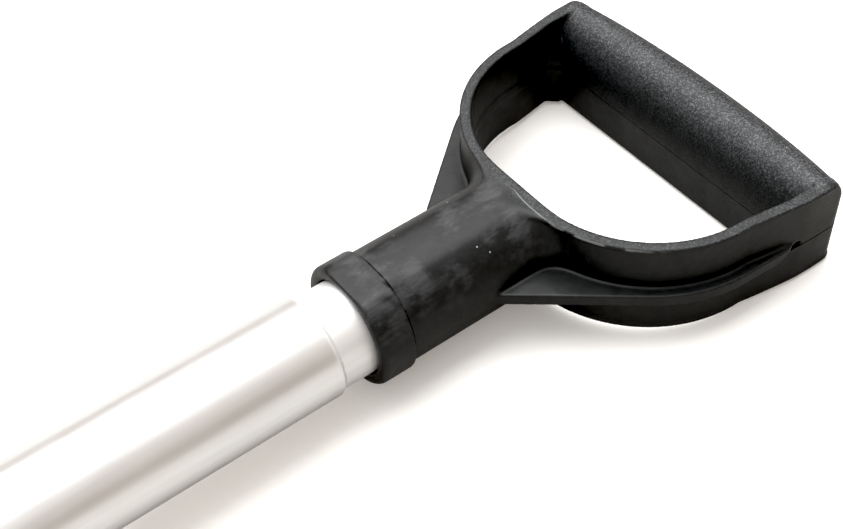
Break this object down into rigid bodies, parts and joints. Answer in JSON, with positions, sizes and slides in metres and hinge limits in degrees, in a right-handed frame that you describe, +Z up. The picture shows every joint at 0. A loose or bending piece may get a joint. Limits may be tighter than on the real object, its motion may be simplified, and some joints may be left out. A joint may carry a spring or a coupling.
{
  "type": "beach sand scoop",
  "caption": "Long-handled beach sand scoop: perforated steel basket with a pointed lip on a telescopic aluminium shaft with a black moulded D-grip.",
  "frame": {"origin": "on the ground under the middle of the scoop, which lies on its back on the grip's crossbar and the basket's heel", "axes": "+X towards the grip along the scoop's length, +Y across it, +Z up"},
  "size_m": [1.285, 0.1594, 0.1824],
  "materials": {
    "grip_plastic": "charcoal-black glass-filled nylon, moulded, with a fine pebble grain on the crossbar and satin scuffs on the barrel",
    "black_plastic": "black moulded nylon, plain satin",
    "aluminium": "drawn aluminium tube, clear anodised, fine lengthwise draw lines",
    "stainless_sheet": "laser-cut stainless sheet, brushed, with light sand wear",
    "stainless_plate": "stainless plate, tube and rod, brushed, welded with straw and blue heat tint",
    "fastener_steel": "stainless fasteners, turned and cold formed",
    "spring_steel": "tempered spring strip"
  },
  "bodies": {
    "head": {"lower_shaft": "aluminium", "button_spring": "spring_steel", "shaft_end_plug": "black_plastic", "shaft_socket": "stainless_plate", "socket_bolts": "fastener_steel", "socket_nuts": "fastener_steel", "socket_washers": "fastener_steel", "upper_gusset": "stainless_plate", "lower_gusset": "stainless_plate", "back_plate": "stainless_sheet", "foot_step": "stainless_plate", "step_brackets": "stainless_plate", "belly_panel": "stainless_sheet", "bilge_left": "stainless_sheet", "bilge_right": "stainless_sheet", "side_left": "stainless_sheet", "side_right": "stainless_sheet", "shoulder_left": "stainless_sheet", "shoulder_right": "stainless_sheet", "top_panel": "stainless_sheet", "cutting_lip": "stainless_plate", "mouth_rim": "stainless_plate"},
    "upper": {"d_grip": "grip_plastic", "grip_screw": "fastener_steel", "upper_shaft": "aluminium", "shaft_ferrule": "black_plastic"},
    "button": {"snap_button": "fastener_steel"}
  },
  "joints": [
    {"name": "shaft_pull", "type": "slide", "parent": "head", "child": "upper", "axis": [0.9993, 0, -0.0373], "range_m": [0, 0.12]},
    {"name": "button_press", "type": "slide", "parent": "head", "child": "button", "axis": [-0.0373, 0, -0.9993], "range_m": [0, 0.0046], "stiffness_N_per_m": 900, "deforming": ["button_spring"]}
  ]
}
